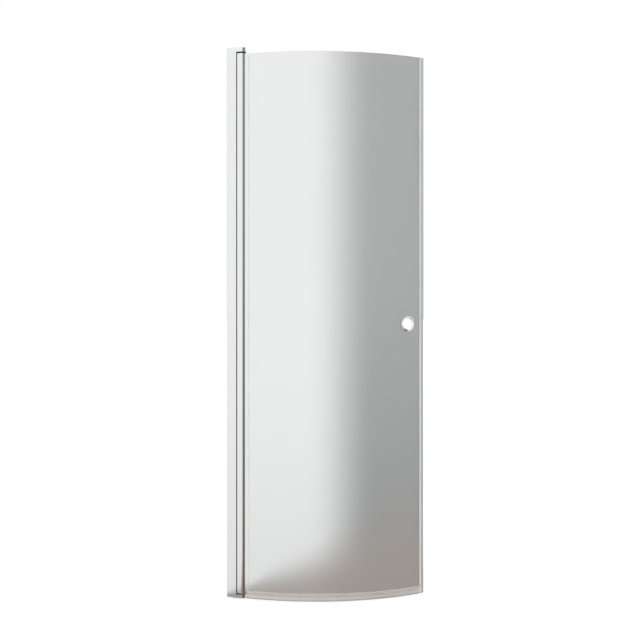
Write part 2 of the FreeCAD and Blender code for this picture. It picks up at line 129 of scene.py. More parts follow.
# The studio: floor, dark screen, lower room, lamp and camera
floor_radius = 40.0
floor_segments = 96
flag_step = math.radians(3.0)
flag_dark_height = -2.8
flag_bright_height = 1.6
dusk_full = -0.34
dusk_start = -0.1
lamp_place = (0.3, -0.3, 4.0)
lamp_angle = math.radians(80.0)
sensor_width = 36.0
camera_sight = 200.0
level_view = math.radians(90.0)

# The sheet of painted shade that only mirrors show, a dark glow standing in for the shaded floor that the
# foot of the door mirrors: its extent, and the bands over which it fades
painted_shade_start = -0.2
painted_shade_end = 0.86
painted_shade_step = 0.02
painted_shade_rows = 16
painted_shade_gap = 0.014
painted_shade_lift = 0.0004
painted_shade_least = 0.03
painted_shade_hinge_slope = 1.8
painted_shade_bow_slope = 1.05
painted_shade_rim_share = 2.0
painted_shade_fade_shares = (0.2, 1.9)
painted_shade_hinge_share = 0.92
painted_shade_hinge_band = (0.2, 0.36)
painted_shade_near_share = 0.7
painted_shade_near_band = (0.02, 0.1)


def length(name, description, default):
    """Length property in metres."""
    return FloatProperty(name=name, description=description, default=default, unit="LENGTH", precision=5)


def share(name, description, default):
    """Property that is a share from nought to one."""
    return FloatProperty(name=name, description=description, default=default, min=0.0, max=1.0,
                         subtype="FACTOR", precision=3)


def angle(name, description, degrees):
    """Angle property, given in degrees."""
    return FloatProperty(name=name, description=description, default=math.radians(degrees), subtype="ANGLE",
                         unit="ROTATION")


def strength(name, description, default):
    """Strength of a light."""
    return FloatProperty(name=name, description=description, default=default, min=0.0)


def colour(name, description, default):
    """Linear colour property."""
    return FloatVectorProperty(name=name, description=description, default=default, size=4, min=0.0,
                               max=1.0, subtype="COLOR")


class DoorSizes(PropertyGroup):
    """Sizes of the pieces that are made finer than their solids."""

    bow_radius: length("Bow radius", "Radius of the middle of the glass", 0.777)
    bend_gap: length("Bend gap", "Straight glass between the pocket and the start of the bow", 0.002)
    glass_arris: length("Glass arris", "Width of the ground edges of the glass", 0.0006)
    seal_fit: length("Seal fit", "Room between a seal and the glass", 0.0003)
    seal_wall: length("Seal wall", "Wall of the clip-on seals", 0.0012)
    seal_round: length("Seal rounding", "Rounding of the corners of the seals", 0.0004)
    clip_end: length("Clip end", "Thickness of the seals' arms at their ends", 0.0005)
    lip_root: length("Lip root", "Thickness of the upright lip where it leaves the seal", 0.0014)
    lip_tip: length("Lip tip", "Thickness of the lips at their ends", 0.0007)
    drip_reach: length("Drip reach", "How far the drip lip stands into the shower", 0.007)
    drip_drop: length("Drip drop", "How far the drip lip falls below the glass", 0.009)
    edge_clip: length("Edge clip", "Overlap of the edge seal on the glass", 0.009)
    fin_length: length("Fin length", "Reach of the edge seal's fin", 0.012)
    fin_root: length("Fin root", "Thickness of the fin where it leaves the seal", 0.0024)
    fin_tip: length("Fin tip", "Thickness of the fin at its end", 0.0008)
    fin_lean: length("Fin lean", "How far the fin leans into the shower", 0.002)
    wiper_neck: length("Wiper neck", "How far the wiper narrows where it leaves its groove", 0.0003)
    gasket_thickness: length("Gasket thickness", "Thickness of the strips beside the glass", 0.002)
    grip_seat: length("Grip seat", "Room between the grip's gaskets and the glass", 0.0001)
    grip_gasket_inset: length("Grip gasket inset", "How far the grip's gaskets stay inside its rings", 0.001)


class DoorFinishes(PropertyGroup):
    """Colours and gloss of the materials."""

    glass: colour("Glass", "Tint of the satin glass", (0.865, 0.878, 0.873, 1.0))
    glass_body: colour("Glass body", "Tint of light that passes through the glass", (0.76, 0.78, 0.775, 1.0))
    glass_edge: colour("Glass edge", "Tint of the ground edges of the glass", (0.8, 0.88, 0.86, 1.0))
    glass_mirror: share("Glass mirror", "How strongly the glass mirrors the room", 0.62)
    glass_satin: share("Glass satin", "Roughness of the satin face", 0.16)
    aluminium: colour("Aluminium", "Bright anodised aluminium", (0.85, 0.853, 0.857, 1.0))
    chrome: colour("Chrome", "Polished chrome", (0.86, 0.87, 0.885, 1.0))
    steel: colour("Steel", "Turned stainless steel", (0.6, 0.6, 0.61, 1.0))
    edge_clip: colour("Edge clip", "Clear clip of the edge seal", (0.88, 0.895, 0.89, 1.0))
    edge_fin: colour("Edge fin", "Softer, milky fin of the edge seal", (0.64, 0.64, 0.64, 1.0))
    foot_clip: colour("Foot clip", "Clear clip of the bottom seal", (0.89, 0.868, 0.845, 1.0))
    foot_lip: colour("Foot lip", "Softer, milky lip of the bottom seal", (0.785, 0.757, 0.73, 1.0))
    gasket: colour("Gasket", "Milky soft strips and rings on the glass", (0.95, 0.955, 0.95, 1.0))
    black: colour("Black plastic", "Moulded black bearing plastic", (0.012, 0.012, 0.013, 1.0))
    graphite: colour("Graphite plastic", "Lower bearing washer, filled with graphite", (0.1, 0.1, 0.1, 1.0))
    nylon: colour("White nylon", "Moulded white bushes", (0.78, 0.77, 0.74, 1.0))
    grey: colour("Grey plastic", "Moulded grey caps", (0.55, 0.56, 0.57, 1.0))
    rubber: colour("Grey rubber", "Extruded grey rubber", (0.06, 0.06, 0.063, 1.0))


class StudioSettings(PropertyGroup):
    """Camera, floor and light."""

    camera_place: FloatVectorProperty(name="Camera place", description="Where the camera stands", size=3,
                                      default=(1.36125, -3.17149, 1.0717), subtype="TRANSLATION",
                                      unit="LENGTH")
    camera_turn: angle("Camera turn", "Turn of the level camera about the vertical", 17.7764)
    camera_lens: FloatProperty(name="Camera lens", description="Focal length in millimetres", default=54.198,
                               unit="CAMERA")
    camera_rise: FloatProperty(name="Camera shift", description="Upward shift of the frame", default=-0.0385)
    floor: colour("Floor", "Plain pale floor", (0.9, 0.9, 0.9, 1.0))
    room: strength("Room light", "Strength of the even light all round", 1.0)
    overhead: strength("Overhead light", "Strength of the soft light from above", 2.0)
    dusk: share("Lower room", "Brightness of the room well below the horizon", 0.85)
    flag_top: colour("Dark flag top", "Upper brightness of the dark screen that the glass mirrors",
                     (0.225, 0.225, 0.23, 1.0))
    flag_foot: colour("Dark flag foot", "Lower brightness of the dark screen that the glass mirrors",
                      (0.055, 0.055, 0.055, 1.0))
    flag_start: angle("Flag start", "Where the dark screen begins, seen from the hinge", 15.5)
    flag_full: angle("Flag full", "Where the dark screen has its full depth", 53.5)
    flag_end: angle("Flag end", "Where the dark screen ends, seen from the hinge", 108.0)
    flag_distance: length("Flag distance", "Distance of the dark screen from the hinge", 8.74)
    flag_height: length("Flag height", "Height of the dark screen, above the floor and below it", 7.0)
    # Painted shade: the next two settings give the tone and reach of a dark warm glow, seen only in mirrors,
    # that darkens the foot of the glass in place of the shaded floor's reflection
    mat: colour("Floor mat", "Brightness of the warm mat that the foot of the door mirrors",
                (0.16, 0.09, 0.045, 1.0))
    painted_shade_depth: length("Mat depth", "How far out from the start of the bow the mat is half faded", 0.205)


def sizes():
    """Sizes that the scene holds."""
    return bpy.context.scene.shower_sizes


def finishes():
    """Finishes that the scene holds."""
    return bpy.context.scene.shower_finishes


def studio():
    """Studio settings that the scene holds."""
    return bpy.context.scene.shower_studio


class Value:
    """A socket that Python's arithmetic builds on."""

    def __init__(self, paint, socket):
        self.paint = paint
        self.socket = socket

    def math(self, operation, first, second):
        """Result of a Math node on two values."""
        return self.paint.node("ShaderNodeMath", {"operation": operation}, {0: first, 1: second})

    def __add__(self, other):
        return self.math("ADD", self, other)

    def __radd__(self, other):
        return self.math("ADD", other, self)

    def __sub__(self, other):
        return self.math("SUBTRACT", self, other)

    def __rsub__(self, other):
        return self.math("SUBTRACT", other, self)

    def __mul__(self, other):
        return self.math("MULTIPLY", self, other)

    def __rmul__(self, other):
        return self.math("MULTIPLY", other, self)

    def __pow__(self, other):
        return self.math("POWER", self, other)


class Paint:
    """The nodes that make a material or the room."""

    def __init__(self, owner, coordinate="Object"):
        owner.use_nodes = True
        self.owner = owner
        self.tree = owner.node_tree
        self.tree.nodes.clear()
        self.place = self.node("ShaderNodeTexCoord", {}, {}, coordinate)

    def node(self, kind, settings, sockets, output=0):
        """Add a node: its settings first, then the values or links of its sockets."""
        made = self.tree.nodes.new(kind)
        for name, setting in settings.items():
            setattr(made, name, setting)
        for name, given in sockets.items():
            if isinstance(given, Value):
                self.tree.links.new(given.socket, made.inputs[name])
            else:
                made.inputs[name].default_value = given
        return Value(self, made.outputs[output]) if made.outputs else None

    def noise(self, scale, detail=2.0, stretch=(1.0, 1.0, 1.0)):
        """Soft noise in the object's own metres, drawn out along an axis whose stretch is small."""
        place = self.node("ShaderNodeMapping", {}, {"Vector": self.place, "Scale": stretch})
        return self.node("ShaderNodeTexNoise", {}, {"Vector": place, "Scale": scale, "Detail": detail})

    def blend(self, factor, first, second):
        """Colour between two colours."""
        return self.node("ShaderNodeMix", {"data_type": "RGBA"}, {0: factor, 6: first, 7: second}, 2)

    def tint(self, mask, tone, darkest, lightest):
        """Tone that a mask makes a little darker or lighter."""
        return self.blend(mask, shade(tone, darkest), shade(tone, lightest))

    def bump(self, height, depth, strength):
        """Normal of a surface with small hills of a depth in metres."""
        return self.node("ShaderNodeBump", {}, {"Strength": strength, "Distance": depth, "Height": height})

    def axes(self):
        """The three parts of the place."""
        return [self.node("ShaderNodeSeparateXYZ", {}, {"Vector": self.place}, axis) for axis in "XYZ"]

    def veil(self, depth, tone):
        """Close the material with an even glow that is seen through where its depth is small."""
        clear = self.node("ShaderNodeBsdfTransparent", {}, {})
        light = self.node("ShaderNodeEmission", {}, {"Color": tone, "Strength": 1.0})
        mixed = self.node("ShaderNodeMixShader", {}, {0: depth, 1: clear, 2: light})
        self.node("ShaderNodeOutputMaterial", {}, {"Surface": mixed})
        return self.owner

    def surface(self, **sockets):
        """Close the material with one principled shader."""
        named = {name.replace("_", " "): given for name, given in sockets.items()}
        shader = self.node("ShaderNodeBsdfPrincipled", {}, named)
        self.node("ShaderNodeOutputMaterial", {}, {"Surface": shader})
        return self.owner


def fresh(name):
    """New empty material."""
    return bpy.data.materials.new(name)


def shade(tone, factor):
    """Lighter or darker copy of a colour."""
    return (*(min(1.0, part * factor) for part in tone[:3]), 1.0)


def between(mask, smoothest, roughest):
    """Roughness that a mask moves between two values."""
    return smoothest + (roughest - smoothest) * mask


def satin_face():
    """Outer face of the glass: mirrors the room softly and lets light through."""
    paint = Paint(fresh("satin_face"))
    grain = paint.noise(scale=2400.0, detail=3.0)
    cloud = paint.noise(scale=2.5)
    satin = finishes().glass_satin
    return paint.surface(
        Base_Color=paint.tint(cloud, finishes().glass, darkest=0.985, lightest=1.015),
        Metallic=finishes().glass_mirror,
        Roughness=between(grain, satin - satin_swing, satin + satin_swing),
        IOR=glass_ior,
        Transmission_Weight=0.9,
        Normal=paint.bump(grain, depth=0.00004, strength=0.25),
    )


def etched_face():
    """Inner face of the glass: finely etched, with faint cloudiness."""
    paint = Paint(fresh("etched_face"))
    grain = paint.noise(scale=2400.0, detail=3.0)
    cloud = paint.noise(scale=4.0)
    return paint.surface(
        Base_Color=paint.tint(cloud, finishes().glass_body, darkest=0.985, lightest=1.015),
        Metallic=0.0,
        Roughness=between(grain, smoothest=0.37, roughest=0.47),
        IOR=glass_ior,
        Transmission_Weight=0.9,
        Normal=paint.bump(grain, depth=0.00005, strength=0.3),
    )


def ground_edge():
    """Ground and polished edge of the glass, with grinding marks."""
    paint = Paint(fresh("ground_edge"))
    marks = paint.noise(scale=900.0, detail=3.0)
    return paint.surface(
        Base_Color=paint.tint(marks, finishes().glass_edge, darkest=0.9, lightest=1.1),
        Roughness=between(marks, smoothest=0.14, roughest=0.28),
        IOR=glass_ior,
        Transmission_Weight=0.75,
        Normal=paint.bump(marks, depth=0.00006, strength=0.4),
    )


def bright_aluminium():
    """Bright anodised aluminium with fine lines that run up the profile."""
    paint = Paint(fresh("bright_aluminium"))
    lines = paint.noise(scale=700.0, detail=4.0, stretch=(1.0, 1.0, 0.004))
    haze = 0.04 * paint.noise(scale=7.0)
    return paint.surface(
        Base_Color=paint.tint(lines, finishes().aluminium, darkest=0.96, lightest=1.03),
        Metallic=1.0,
        Roughness=between(lines, smoothest=0.2, roughest=0.29) + haze,
        Normal=paint.bump(lines, depth=0.00003, strength=0.35),
    )


def polished_chrome():
    """Polished chrome with faint wiping smears."""
    paint = Paint(fresh("polished_chrome"))
    smear = paint.noise(scale=55.0, detail=4.0, stretch=(1.0, 1.0, 0.4))
    peel = paint.noise(scale=420.0, detail=1.0)
    return paint.surface(
        Base_Color=paint.tint(smear, finishes().chrome, darkest=0.97, lightest=1.02),
        Metallic=1.0,
        Roughness=between(smear ** 2.0, smoothest=0.05, roughest=0.13),
        Normal=paint.bump(peel, depth=0.00002, strength=0.2),
    )


def turned_steel():
    """Stainless steel with fine turning marks."""
    paint = Paint(fresh("turned_steel"))
    rings = paint.noise(scale=160.0, detail=3.0, stretch=(1.0, 1.0, 26.0))
    return paint.surface(
        Base_Color=paint.tint(rings, finishes().steel, darkest=0.88, lightest=1.1),
        Metallic=1.0,
        Roughness=between(rings, smoothest=0.24, roughest=0.4),
        Normal=paint.bump(rings, depth=0.00004, strength=0.4),
    )


def seal_plastic(name, tone, through):
    """Clear flexible plastic with drawing lines and a slightly milky body."""
    paint = Paint(fresh(name))
    drawn = paint.noise(scale=500.0, detail=3.0, stretch=drawn_stretch)
    milk = paint.noise(scale=18.0)
    return paint.surface(
        Base_Color=paint.tint(milk, tone, darkest=0.95, lightest=1.04),
        Roughness=between(drawn, smoothest=0.16, roughest=0.3),
        IOR=soft_plastic_ior,
        Transmission_Weight=through,
        Coat_Weight=0.25,
        Normal=paint.bump(drawn, depth=0.00005, strength=0.4),
    )


def clear_clip():
    """Clip of the bottom seal."""
    return seal_plastic("clear_clip", finishes().foot_clip, through=0.85)


def milky_arm():
    """Outer arm of the edge seal."""
    return seal_plastic("milky_arm", finishes().edge_clip, through=0.6)


def clear_arm():
    """Inner arm of the edge seal, and the inner glazing strip."""
    return seal_plastic("clear_arm", finishes().edge_clip, through=0.97)


def lip_plastic(name, tone, mirror):
    """Softer, milky plastic of the lips that touch the floor and the next door, with painted shade that
    darkens it towards the floor.
    """
    paint = Paint(fresh(name))
    drawn = paint.noise(scale=500.0, detail=3.0, stretch=drawn_stretch)
    milk = paint.noise(scale=18.0)
    # Painted shade: darker colour low down, by height above the floor, with a wavering upper edge
    height = paint.axes()[2] + foot_shade_waver * (milk - 0.5)
    foot_shade = paint.node("ShaderNodeMapRange", {},
                        {"Value": height, "From Min": foot_shade_low, "From Max": foot_shade_high})
    clean = paint.tint(milk, tone, darkest=0.96, lightest=1.03)
    return paint.surface(
        Base_Color=paint.blend(foot_shade, shade(tone, foot_shade_share), clean),
        Metallic=mirror,
        Roughness=between(drawn, smoothest=0.24, roughest=0.38),
        IOR=soft_plastic_ior,
        Transmission_Weight=0.75,
        Normal=paint.bump(drawn, depth=0.00005, strength=0.4),
    )


def soft_lip():
    """Lips of the bottom seal."""
    return lip_plastic("soft_lip", finishes().foot_lip, mirror=0.2)


def soft_fin():
    """Fin of the edge seal."""
    return lip_plastic("soft_fin", finishes().edge_fin, mirror=0.3)


def clear_gasket():
    """Soft milky strips and rings that touch the glass, with a satin sheen."""
    paint = Paint(fresh("clear_gasket"))
    milk = paint.noise(scale=60.0, detail=3.0)
    return paint.surface(
        Base_Color=paint.tint(milk, finishes().gasket, darkest=0.95, lightest=1.02),
        Roughness=between(milk, smoothest=0.4, roughest=0.52),
        IOR=soft_plastic_ior,
        Specular_IOR_Level=0.3,
        Transmission_Weight=0.05,
        Normal=paint.bump(milk, depth=0.00006, strength=0.3),
    )


def moulded_plastic(name, tone, smoothest, specular):
    """Moulded plastic with a fine spark-eroded grain."""
    paint = Paint(fresh(name))
    grain = paint.noise(scale=1800.0, detail=3.0)
    flow = paint.noise(scale=40.0)
    return paint.surface(
        Base_Color=paint.tint(flow, tone, darkest=0.9, lightest=1.1),
        Roughness=between(grain, smoothest, smoothest + moulded_swing),
        IOR=hard_plastic_ior,
        Specular_IOR_Level=specular,
        Normal=paint.bump(grain, depth=0.00005, strength=0.5),
    )


def moulded_black():
    """Black plastic of the plugs and the upper washer."""
    return moulded_plastic("moulded_black", finishes().black, smoothest=0.55, specular=0.2)


def moulded_graphite():
    """Dark grey plastic of the lower washer."""
    return moulded_plastic("moulded_graphite", finishes().graphite, smoothest=0.45, specular=0.4)


def moulded_nylon():
    """White plastic of the bushes."""
    return moulded_plastic("moulded_nylon", finishes().nylon, smoothest=0.42, specular=0.5)


def moulded_grey():
    """Grey plastic of the caps over the lock screws."""
    return moulded_plastic("moulded_grey", finishes().grey, smoothest=0.28, specular=0.5)


def drawn_rubber():
    """Extruded rubber with faint bloom and drawing lines."""
    paint = Paint(fresh("drawn_rubber"))
    drawn = paint.noise(scale=600.0, detail=3.0, stretch=(1.0, 1.0, 0.01))
    bloom = paint.noise(scale=25.0, detail=4.0)
    return paint.surface(
        Base_Color=paint.tint(bloom, finishes().rubber, darkest=0.85, lightest=1.2),
        Roughness=between(drawn, smoothest=0.62, roughest=0.78),
        IOR=hard_plastic_ior,
        Normal=paint.bump(drawn, depth=0.00006, strength=0.5),
    )


def pale_floor():
    """Plain pale floor with very faint unevenness."""
    paint = Paint(fresh("pale_floor"))
    cloud = paint.noise(scale=0.8, detail=3.0)
    return paint.surface(
        Base_Color=paint.tint(cloud, studio().floor, darkest=0.99, lightest=1.0),
        Roughness=between(cloud, smoothest=0.85, roughest=0.95),
        Specular_IOR_Level=0.1,
    )


def shaded_flag(setting):
    """Dark screen with a soft near edge, which falls off towards its foot."""
    paint = Paint(fresh("dark_flag"))
    x, y, z = paint.axes()
    rise = paint.node("ShaderNodeMapRange", {},
                      {"Value": z, "From Min": flag_dark_height, "From Max": flag_bright_height})
    turn = x.math("ARCTAN2", x, 0.0 - y)
    depth = paint.node("ShaderNodeMapRange", {"interpolation_type": "SMOOTHSTEP"},
                       {"Value": turn, "From Min": setting.flag_start, "From Max": setting.flag_full})
    return paint.veil(depth, paint.blend(rise, setting.flag_foot, setting.flag_top))


def painted_shade_material(setting):
    """Painted shade: a dark warm glow, seen only in mirrors, that fades out with the value that its mesh
    holds.
    """
    paint = Paint(fresh("painted_floor_shade"))
    depth = paint.node("ShaderNodeAttribute", {"attribute_name": "fade"}, {}, "Fac")
    return paint.veil(depth, tuple(setting.mat))


recipes = {recipe.__name__: recipe for recipe in (
    satin_face, etched_face, ground_edge, bright_aluminium, polished_chrome, turned_steel, clear_clip,
    milky_arm, clear_arm, soft_lip, soft_fin, clear_gasket, moulded_black, moulded_graphite, moulded_nylon,
    moulded_grey, drawn_rubber)}


def finish_of(name):
    """Material of that name, made the first time that it is asked for."""
    return bpy.data.materials.get(name) or recipes[name]()


def dress(material, *nodes):
    """Give solids that keep their own shape a finished material."""
    for node in nodes:
        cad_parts[node].material_slots[0].material = finish_of(material)


def make_piece(name, skin, materials, body, slot, *nodes):
    """Turn a skin into a piece that rides on a body and stands for its solids."""
    bmesh.ops.recalc_face_normals(skin, faces=skin.faces)
    mesh = bpy.data.meshes.new(name)
    skin.to_mesh(mesh)
    skin.free()
    mesh.shade_smooth()
    mesh.set_sharp_from_angle(angle=crease_angle)
    for material in materials:
        mesh.materials.append(finish_of(material))
    piece = bpy.data.objects.new(name, mesh)
    bpy.context.scene.collection.objects.link(piece)
    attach(piece, body)
    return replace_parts(piece, *nodes)


def bend_x():
    """Where the straight edge of the glass goes over into the bow."""
    return profile_high.x + sizes().bend_gap


def bow_end():
    """Length of the bow along the middle of the glass."""
    radius = sizes().bow_radius
    return radius * math.asin((glass_high.x - bend_x()) / (radius + glass_half))


def on_glass(along, out, height):
    """Point at a length along the bow, a distance out from the middle of the glass and a height."""
    radius = sizes().bow_radius
    if along < 0.0:
        return Vector((bend_x() + along, -out, height))
    turn = along / radius
    reach = radius + out
    return Vector((bend_x() + reach * math.sin(turn), radius - reach * math.cos(turn), height))


def past_edge(along, out, height):
    """Point straight on from the free edge of the glass."""
    turn = bow_end() / sizes().bow_radius
    start = on_glass(bow_end(), out, height)
    return start + Vector((math.cos(turn), math.sin(turn), 0.0)) * along


def grip_turn():
    """Turn of the bow from its start to the grip."""
    return math.atan2(grip_centre.x - bend_x(), sizes().bow_radius - grip_centre.y)


def grip_axis():
    """Middle of the glass at the grip, and the directions along the bow and out of the door there."""
    turn = grip_turn()
    middle = on_glass(turn * sizes().bow_radius, 0.0, grip_centre.z)
    tangent = Vector((math.cos(turn), math.sin(turn), 0.0))
    outward = Vector((math.sin(turn), -math.cos(turn), 0.0))
    return middle, tangent, outward


def spread(start, end, step):
    """Even places from start to end, no further apart than a step."""
    count = max(1, math.ceil((end - start) / step - step_slack))
    return [start + (end - start) * index / count for index in range(count + 1)]


def rounded(corners, radius, steps=3):
    """Closed outline with each corner turned into a small round."""
    points = []
    for index, corner in enumerate(corners):
        here = Vector(corner)
        back = Vector(corners[index - 1]) - here
        ahead = Vector(corners[(index + 1) % len(corners)]) - here
        start = here + back.normalized() * min(radius, back.length * corner_share)
        end = here + ahead.normalized() * min(radius, ahead.length * corner_share)
        for step in range(steps + 1):
            part = step / steps
            points.append(start.lerp(here, part).lerp(here.lerp(end, part), part))
    return points


def band(skin, first, second, material=0):
    """Faces between two closed rows of points."""
    for index in range(len(first)):
        after = (index + 1) % len(first)
        face = skin.faces.new((first[index], first[after], second[after], second[index]))
        face.material_index = material


def skin_over(skin, rings):
    """Skin a row of like outlines and close both ends."""
    rows = [[skin.verts.new(point) for point in ring] for ring in rings]
    for row, following in zip(rows, rows[1:]):
        band(skin, row, following)
    skin.faces.new(rows[0][::-1])
    skin.faces.new(rows[-1])


def upright(skin, outline, low, high):
    """Upright bar with an outline in plan and softened ends."""
    middle = sum((Vector(point) for point in outline), Vector((0.0, 0.0))) / len(outline)
    drawn_in = [Vector(point).lerp(middle, wiper_taper_share) for point in outline]
    soft = sizes().seal_round
    stages = [(low, drawn_in), (low + soft, outline), (high - soft, outline), (high, drawn_in)]
    skin_over(skin, [[(x, y, height) for x, y in points] for height, points in stages])


def glass_grid():
    """Lines along and up the glass, with a finer square round the grip hole that starts at two of them."""
    along = sizes().bow_radius * grip_turn()
    patch = grip_hole_radius * hole_patch_share
    fine = [patch * (2 * step / hole_cells - 1) for step in range(hole_cells + 1)]
    lines = spread(glass_low.x - bend_x(), 0.0, pocket_step) + spread(0.0, along - patch, bow_step)[1:-1]
    first = len(lines)
    lines += [along + step for step in fine] + spread(along + patch, bow_end(), bow_step)[1:]
    rows = spread(glass_low.z, grip_centre.z - patch, glass_step)[:-1]
    lowest = len(rows)
    rows += [grip_centre.z + step for step in fine]
    rows += spread(grip_centre.z + patch, glass_high.z, glass_step)[1:]
    return lines, rows, first, lowest


def walk_round(left, right, low, high):
    """Cells of a grid's border, once round."""
    walk = [(column, low) for column in range(left, right)]
    walk += [(right, row) for row in range(low, high)]
    walk += [(column, high) for column in range(right, left, -1)]
    return walk + [(left, row) for row in range(high, low, -1)]


def glass_face(skin, out, material):
    """One face of the glass. Returns its outer border and the rim of the grip hole."""
    lines, rows, first, lowest = glass_grid()
    last, highest = first + hole_cells, lowest + hole_cells
    along = sizes().bow_radius * grip_turn()
    grid = {}
    for column, place in enumerate(lines):
        for row, height in enumerate(rows):
            if not (first < column < last and lowest < row < highest):
                grid[column, row] = skin.verts.new(on_glass(place, out, height))
    for column in range(len(lines) - 1):
        for row in range(len(rows) - 1):
            if first <= column < last and lowest <= row < highest:
                continue
            corners = ((column, row), (column + 1, row), (column + 1, row + 1), (column, row + 1))
            skin.faces.new([grid[corner] for corner in corners]).material_index = material
    loop = walk_round(first, last, lowest, highest)
    ring = [grid[corner] for corner in loop]
    for step in range(1, hole_rings + 1):
        part = (step / hole_rings) ** hole_ring_power
        inner = []
        for column, row in loop:
            square = Vector((lines[column] - along, rows[row] - grip_centre.z))
            place = square.lerp(square.normalized() * grip_hole_radius, part)
            inner.append(skin.verts.new(on_glass(along + place.x, out, grip_centre.z + place.y)))
        band(skin, ring, inner, material)
        ring = inner
    border = [grid[corner] for corner in walk_round(0, len(lines) - 1, 0, len(rows) - 1)]
    return border, ring


def soften(piece, width, material):
    """Small ground rounds along the sharp edges of a piece."""
    bevel = piece.modifiers.new("arris", "BEVEL")
    bevel.width = width
    bevel.segments = arris_segments
    bevel.limit_method = "ANGLE"
    bevel.angle_limit = arris_angle
    bevel.material = material
    bevel.harden_normals = True


def drip_lip(first_step, roof):
    """Outline of the drip lip from one of its steps out to its tip and back, kept below a roof."""
    size = sizes()
    outer = glass_half + size.seal_fit + size.seal_wall
    seat = glass_low.z - size.seal_fit
    upper, under = [], []
    for step in range(first_step, drip_steps + 1):
        part = step / drip_steps
        reach = outer + size.drip_reach * part
        fall = size.drip_drop * (drip_slope_share * part + (1.0 - drip_slope_share) * part ** 2)
        thin = size.seal_wall + (size.lip_tip - size.seal_wall) * part
        upper.append((-reach, min(roof, seat - fall)))
        under.insert(0, (-reach, seat - fall - thin))
    return upper + under


def bottom_section():
    """Outline of the bottom seal: distance out from the glass and height."""
    size = sizes()
    inner = glass_half + size.seal_fit
    outer = inner + size.seal_wall
    arm = inner + size.clip_end
    catch = inner - size.seal_fit * barb_share
    seat = glass_low.z - size.seal_fit
    base = seat - size.seal_wall
    clip = seal_high.z
    foot = seal_low.z
    corners = [(arm, clip), (catch, clip), (catch, clip - barb_height), (inner, clip - 2 * barb_height),
               (inner, seat), (-inner, seat), (-inner, clip - 2 * barb_height), (-catch, clip - barb_height),
               (-catch, clip), (-arm, clip), (-outer, seat)]
    corners += drip_lip(1, seat)
    corners += [(-outer, base), (outer - size.lip_root, base), (outer - size.lip_tip, foot), (outer, foot),
                (outer, seat)]
    return rounded(corners, size.seal_round)


def tail_sections():
    """Outlines of the two lips that run on under the pivot profile."""
    size = sizes()
    outer = glass_half + size.seal_fit + size.seal_wall
    roof = profile_low.z - size.seal_fit
    foot = seal_low.z
    lip = [(outer, roof), (outer - size.lip_root, roof), (outer - size.lip_tip, foot), (outer, foot)]
    return [rounded(outline, size.seal_round) for outline in (lip, drip_lip(tail_first_step, roof))]


def edge_section():
    """Outline of the edge seal: length past the glass edge and distance out."""
    size = sizes()
    inner = glass_half + size.seal_fit
    outer = inner + size.seal_wall
    arm = inner + size.clip_end
    catch = inner - size.seal_fit * barb_share
    base = size.seal_fit + size.seal_wall
    clip = -size.edge_clip
    fin_out, fin_in = [], []
    for step in range(fin_steps + 1):
        part = step / fin_steps
        place = base + size.fin_length * part
        lean = -size.fin_lean * part ** fin_curl_power
        half = (size.fin_root + (size.fin_tip - size.fin_root) * part) / 2
        fin_out.append((place, lean + half))
        fin_in.insert(0, (place, lean - half))
    corners = [(clip, -arm), (clip, -catch), (clip + barb_height, -catch), (clip + 2 * barb_height, -inner),
               (size.seal_fit, -inner), (size.seal_fit, inner), (clip + 2 * barb_height, inner),
               (clip + barb_height, catch), (clip, catch), (clip, arm), (0.0, outer), (base, outer)]
    corners += fin_out + fin_in + [(base, -outer), (0.0, -outer)]
    return rounded(corners, size.seal_round)


def quarter_turn(step):
    """Angle of a step on the way round a bead."""
    return math.pi / 2 * step / quarter_steps


def gasket_section(side):
    """Outline of a strip beside the glass, with its round bead at the mouth of the pocket."""
    pocket = glass_half + sizes().gasket_thickness
    bead = -gasket_low.y
    end = gasket_high.x
    mouth = profile_high.x
    corners = [(gasket_low.x, glass_half), (gasket_low.x, pocket), (mouth, pocket), (mouth, bead)]
    for step in range(1, quarter_steps + 1):
        turn = quarter_turn(step)
        corners.append((mouth + (end - mouth) * math.sin(turn),
                        glass_half + (bead - glass_half) * math.cos(turn)))
    return [(x, side * y) for x, y in corners]


def wiper_section():
    """Outline of the wiper: a foot in its groove, a neck and a round bead towards the pivot profile."""
    neck = sizes().wiper_neck
    half = wiper_high.y
    foot, face, tip = wiper_low.x, adjust_high.x, wiper_high.x
    bead = (tip - face) / 2
    corners = [(foot, -half), (face - neck, -half), (face, neck - half)]
    for step in range(1, 2 * quarter_steps):
        turn = quarter_turn(step)
        corners.append((tip - bead + bead * math.sin(turn), -(half - neck) * math.cos(turn)))
    corners += [(face, half - neck), (face - neck, half), (foot, half)]
    return corners


def block_skin(skin):
    """Setting block with ribs across its top."""
    corners = [(block_low.x, block_low.z), (block_high.x, block_low.z)]
    pitch = (block_high.x - block_low.x) / rib_count
    top = block_high.z
    valley = top - rib_depth
    for rib in range(rib_count, 0, -1):
        right = block_low.x + pitch * rib
        corners += [(right - pitch * rib_right_share, top), (right - pitch * rib_left_share, top),
                    (right - pitch * rib_foot_share, valley), (right - pitch, valley)]
    outline = rounded(corners, rib_round, steps=2)
    low, high = block_low.y, block_high.y
    stages = ((low, block_end_share), (low + block_soft, 1.0), (high - block_soft, 1.0),
              (high, block_end_share))
    middle = Vector(((block_low.x + block_high.x) / 2, (block_low.z + block_high.z) / 2))
    rings = []
    for y, scale in stages:
        drawn = [middle + (point - middle) * scale for point in outline]
        rings.append([(x, y, z) for x, z in drawn])
    skin_over(skin, rings)


